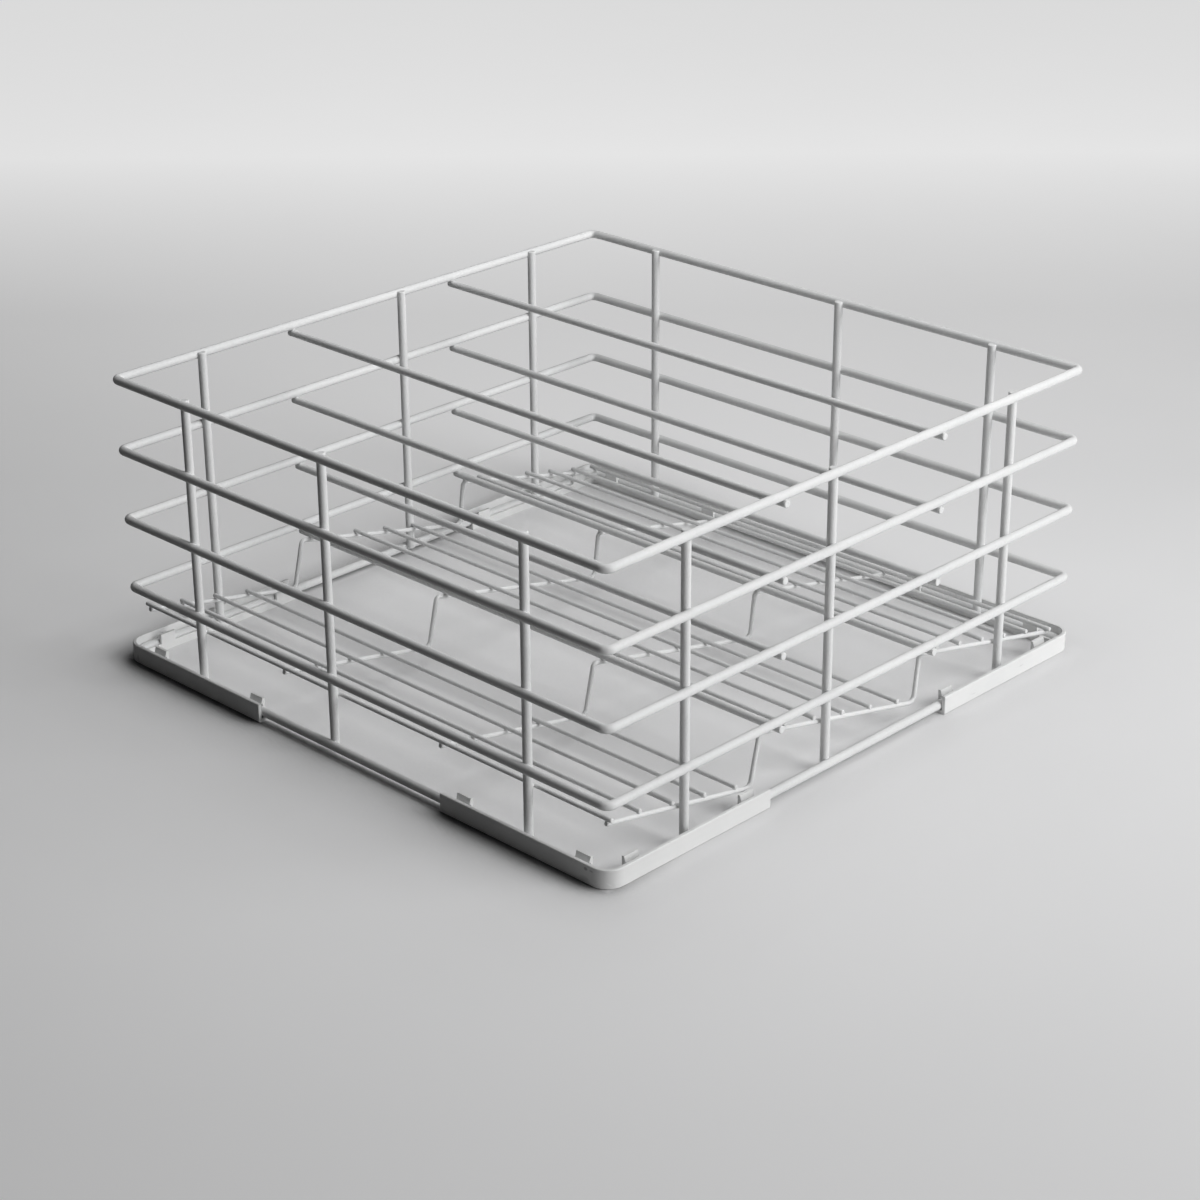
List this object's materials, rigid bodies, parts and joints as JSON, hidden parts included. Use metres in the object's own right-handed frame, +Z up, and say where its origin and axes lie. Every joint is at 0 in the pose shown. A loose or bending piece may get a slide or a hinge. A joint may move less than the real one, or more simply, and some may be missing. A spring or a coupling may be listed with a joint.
{
  "type": "dishwasher basket",
  "caption": "Square open basket of coated steel wire with a stepped, sloping rod shelf in rows parted by wire fences, on moulded corner guards; holds glasses tilted in a dishwasher.",
  "frame": {"origin": "middle of the footprint, on the floor under the corner guards", "axes": "+X to the right side along the rows, +Y to the back, +Z up; each row of the shelf falls toward +Y"},
  "size_m": [0.5, 0.5, 0.223],
  "materials": {
    "wire_coating": "satin white plastic coating over steel wire",
    "guard_plastic": "satin white moulded plastic"
  },
  "bodies": {
    "root": {"back_row_rod_1": "wire_coating", "back_row_rod_2": "wire_coating", "back_row_rod_3": "wire_coating", "back_row_rod_4": "wire_coating", "back_row_rod_5": "wire_coating", "base_ring": "wire_coating", "divider_front_1": "wire_coating", "divider_front_2": "wire_coating", "divider_front_3": "wire_coating", "divider_front_4": "wire_coating", "divider_rear_1": "wire_coating", "divider_rear_2": "wire_coating", "divider_rear_3": "wire_coating", "divider_rear_4": "wire_coating", "edge_rod_back": "wire_coating", "edge_rod_front": "wire_coating", "front_row_rod_1": "wire_coating", "front_row_rod_2": "wire_coating", "front_row_rod_3": "wire_coating", "front_row_rod_4": "wire_coating", "guard_back_left": "guard_plastic", "guard_back_right": "guard_plastic", "guard_front_left": "guard_plastic", "guard_front_right": "guard_plastic", "middle_row_rod_1": "wire_coating", "middle_row_rod_2": "wire_coating", "middle_row_rod_3": "wire_coating", "middle_row_rod_4": "wire_coating", "middle_row_rod_5": "wire_coating", "shelf_profile_1": "wire_coating", "shelf_profile_2": "wire_coating", "shelf_profile_3": "wire_coating", "shelf_profile_4": "wire_coating", "upright_back_1": "wire_coating", "upright_back_2": "wire_coating", "upright_back_3": "wire_coating", "upright_front_1": "wire_coating", "upright_front_2": "wire_coating", "upright_front_3": "wire_coating", "upright_left_1": "wire_coating", "upright_left_2": "wire_coating", "upright_left_3": "wire_coating", "upright_right_1": "wire_coating", "upright_right_2": "wire_coating", "upright_right_3": "wire_coating", "wall_ring_1": "wire_coating", "wall_ring_2": "wire_coating", "wall_ring_3": "wire_coating", "wall_ring_4": "wire_coating"}
  },
  "joints": []
}
